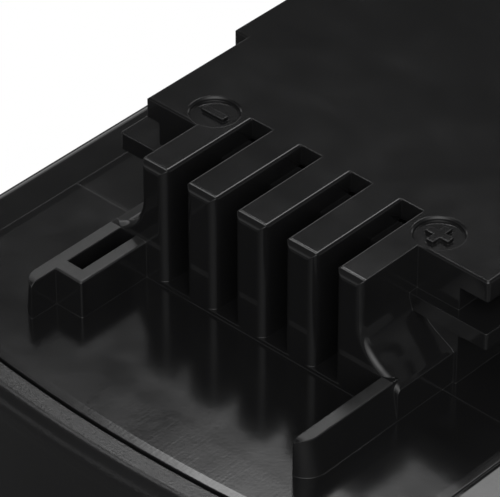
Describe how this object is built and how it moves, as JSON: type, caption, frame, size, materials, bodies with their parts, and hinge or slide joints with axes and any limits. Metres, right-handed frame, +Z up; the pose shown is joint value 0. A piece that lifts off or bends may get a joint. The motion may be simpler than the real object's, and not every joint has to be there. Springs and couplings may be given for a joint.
{
  "type": "power tool battery pack",
  "caption": "Slide-on cordless tool battery pack: slotted terminal comb, top plate with side rails, sprung release latch, charge gauge, and round cells on a circuit board inside.",
  "frame": {"origin": "middle of the pack's base", "axes": "+X across the pack to its plus side, +Y from the terminal end to the latch end, +Z up from the base to the rails"},
  "size_m": [0.076, 0.115, 0.0497],
  "materials": {
    "cover_plastic": "glossy black moulded",
    "housing_plastic": "glossy black moulded, satin on the sides",
    "latch_plastic": "satin black moulded",
    "button_rubber": "matte black",
    "lens": "frosted clear",
    "spring_steel": "drawn wire",
    "screw_steel": "black oxide",
    "cell_sleeve": "metal can in a shrink sleeve",
    "frame_plastic": "moulded",
    "nickel": "stamped strip",
    "fish_paper": "sheet",
    "foam": "closed cell foam",
    "circuit_board": "solder mask",
    "chip_plastic": "moulded",
    "resistor_metal": "bare",
    "capacitor_can": "drawn can",
    "bead_glass": "coated",
    "carrier_plastic": "moulded",
    "contact_copper": "plated copper alloy",
    "light_body": "moulded",
    "ribbon_film": "film"
  },
  "bodies": {
    "pack": {"board_screws": "screw_steel", "capacitors": "capacitor_can", "cell_1": "cell_sleeve", "cell_2": "cell_sleeve", "cell_3": "cell_sleeve", "cell_4": "cell_sleeve", "cell_5": "cell_sleeve", "cell_frame_left": "frame_plastic", "cell_frame_right": "frame_plastic", "controller_chip": "chip_plastic", "foam_strip": "foam", "gauge_board": "circuit_board", "gauge_lens": "lens", "gauge_lights": "light_body", "gauge_ribbon": "ribbon_film", "housing_screws": "screw_steel", "insulation_sheet_left": "fish_paper", "insulation_sheet_right": "fish_paper", "latch_spring_left": "spring_steel", "latch_spring_right": "spring_steel", "lower_housing": "housing_plastic", "power_transistors": "chip_plastic", "protection_board": "circuit_board", "shunt_resistor": "resistor_metal", "strap_left_1": "nickel", "strap_left_2": "nickel", "strap_left_3": "nickel", "strap_right_1": "nickel", "strap_right_2": "nickel", "strap_right_3": "nickel", "tact_switch": "resistor_metal", "terminal_carrier": "carrier_plastic", "terminal_clip_1": "contact_copper", "terminal_clip_2": "contact_copper", "terminal_clip_3": "contact_copper", "terminal_clip_4": "contact_copper", "thermistor": "bead_glass", "upper_cover": "cover_plastic"},
    "release_latch": {"release_latch": "latch_plastic"},
    "gauge_button": {"gauge_button": "button_rubber", "switch_plunger": "chip_plastic"}
  },
  "joints": [
    {"name": "latch_press", "type": "slide", "parent": "pack", "child": "release_latch", "axis": [0, 0, -1], "range_m": [0, 0.0045], "stiffness_N_per_m": 900, "springref_m": -0.004, "deforming": ["latch_spring_left", "latch_spring_right"]},
    {"name": "gauge_press", "type": "slide", "parent": "pack", "child": "gauge_button", "axis": [0, -1, 0], "range_m": [0, 0.0004], "stiffness_N_per_m": 1200, "springref_m": -0.0008}
  ]
}
